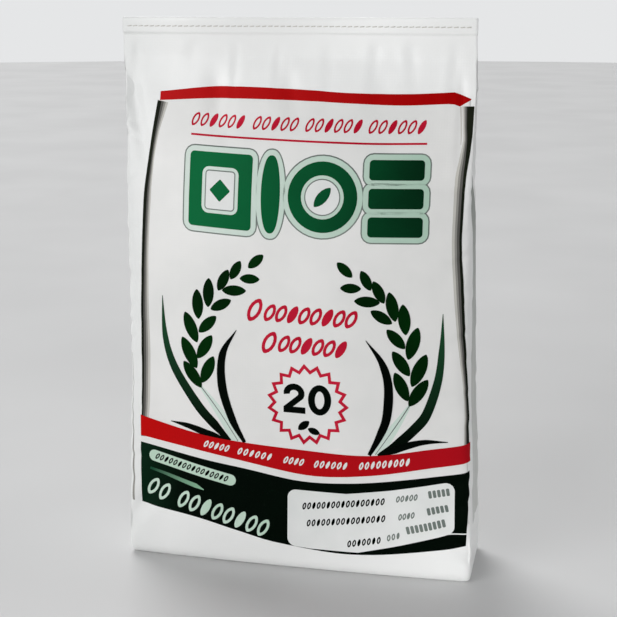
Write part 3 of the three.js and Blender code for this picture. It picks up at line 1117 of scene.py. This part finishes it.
def make_side_panel_shade(ink):
    """Painted shade on each side panel: a plain grey field between the heights where the front's print
    ends.
    """
    start = FACE_HALF_WIDTH + GUSSET_SHADE_INSET
    end = COLUMNS[-1] - GUSSET_SHADE_INSET
    field = [[(start, GUSSET_SHADE_FROM), (end, GUSSET_SHADE_FROM), (end, GUSSET_SHADE_TO), (start, GUSSET_SHADE_TO)]]
    for first_column, word in ((FRONT, "right"), (BACK, "left")):
        shell_piece(f"print_gusset_{word}", [ink_shell(field, first_column, LAYER_STEP)], *ink)


def face_prints():
    yield from top_prints()
    yield from block_prints()
    for word in EARS:
        yield from ear_prints(word)
    yield from red_row_prints()
    yield from badge_prints()
    for word in STRIPES:
        yield from stripe_prints(word)
    yield from shadow_line_prints()
    yield from ribbon_prints()
    yield from field_prints()
    yield from panel_prints()


def make_print(inks):
    make_ground(inks["ground"])
    for name, layer, ink, shapes in face_prints():
        print_piece(f"print_{name}", shapes, layer, *inks[ink])
    # Painted shade on the side panels
    make_side_panel_shade(inks["gusset_shade"])


# The seam

def stitch(across, first_column):
    """One stitch of thread on the hem: a short tube that dips into the skin at both ends."""
    rings, sides = 5, 6
    t = np.linspace(-1, 1, rings)
    place = across + STITCH_LENGTH / 2 * t
    up = STITCH_HEIGHT + STITCH_RISE * t
    middle = on_skin(place, up, STITCH_LIFT - STITCH_DIP * t * t, first_column)
    outward = on_skin(place, up, 1.0, first_column) - on_skin(place, up, 0.0, first_column)
    upward = np.array([0, 0, 1])
    points = []
    for row, out in zip(middle, outward):
        for angle in 2 * math.pi * np.arange(sides) / sides:
            points.append(row + THREAD_RADIUS * (math.cos(angle) * out + math.sin(angle) * upward))
    ends = [list(range(sides))[::-1], [(rings - 1) * sides + k for k in range(sides)]]
    return np.array(points), tube_faces(rings, sides) + ends


def make_stitches(material):
    places = np.arange(STITCHES_FROM, STITCHES_TO, STITCH_PITCH)
    shells = [stitch(across, face) for face in (FRONT, BACK) for across in places]
    shade_smooth(shell_piece("hem_thread", shells, material, "thread"))


# The studio

def make_floor():
    material, tree, shader = node_material("studio floor")
    shader.inputs["Roughness"].default_value = 0.7
    ramp = colour_ramp(tree, *FLOOR_COLOURS)
    link(tree, noise(tree, 2, 2), "Fac", ramp, "Fac")
    link(tree, ramp, "Color", shader, "Base Color")
    mesh = bpy.data.meshes.new("studio_floor")
    bm = bmesh.new()
    bmesh.ops.create_circle(bm, cap_ends=True, radius=FLOOR_RADIUS, segments=64)
    bm.to_mesh(mesh)
    bm.free()
    mesh.materials.append(material)
    add_object("studio_floor", mesh)


def add_lamp(light, place, rotation):
    lamp = add_object(light.name, light)
    lamp.location = place
    lamp.rotation_euler = rotation


def sun_light(name, azimuth, elevation, softness, strength):
    light = bpy.data.lights.new(name, "SUN")
    light.angle = math.radians(softness)
    light.energy = strength
    add_lamp(light, (0, 0, 3), (math.radians(90 - elevation), 0, math.radians(azimuth)))


def spot_light(name, place, target, cone, strength):
    light = bpy.data.lights.new(name, "SPOT")
    light.energy = strength
    light.spot_size = math.radians(cone)
    light.spot_blend = 1.0
    light.shadow_soft_size = SPOT_SOFTNESS
    direction = Vector(target) - Vector(place)
    add_lamp(light, place, direction.to_track_quat("-Z", "Y").to_euler())


def make_world():
    world = bpy.data.worlds.new("studio")
    world.use_nodes = True
    tree = world.node_tree
    parts = add_node(tree, "SeparateXYZ", {})
    link(tree, add_node(tree, "TexCoord", {}), "Generated", parts, "Vector")
    strength = map_range(tree, parts, "Z", 0, OVERHEAD_FROM, HORIZON_STRENGTH, OVERHEAD_STRENGTH)
    background = tree.nodes["Background"]
    background.inputs["Color"].default_value = ROOM_COLOUR
    link(tree, strength, "Result", background, "Strength")
    bpy.context.scene.world = world


def make_lights():
    for name, sun in SUNS.items():
        sun_light(name, *sun)
    spot_light("foot", **FOOT_SPOT)


def make_camera():
    azimuth, pitch = math.radians(CAMERA_AZIMUTH), math.radians(CAMERA_PITCH)
    data = bpy.data.cameras.new("camera")
    data.sensor_width = SENSOR_WIDTH
    data.lens = FOCAL_PIXELS * SENSOR_WIDTH / PICTURE_PIXELS
    data.shift_y = CAMERA_SHIFT_UP
    camera = add_object("camera", data)
    camera.location = (
        (math.sin(azimuth) * CAMERA_DISTANCE + math.cos(azimuth) * CAMERA_SIDE) * MM,
        (-math.cos(azimuth) * CAMERA_DISTANCE + math.sin(azimuth) * CAMERA_SIDE) * MM,
        CAMERA_HEIGHT * MM,
    )
    camera.rotation_euler = (math.pi / 2 - pitch, 0, azimuth)
    bpy.context.scene.camera = camera


make_camera()
make_world()
make_lights()
make_floor()
make_skin(laminate("white woven plastic", *FILM, **FILM_GLOSS))
make_stitches(make_thread())
make_print(make_inks())
bpy.context.scene.view_settings.view_transform = "Standard"
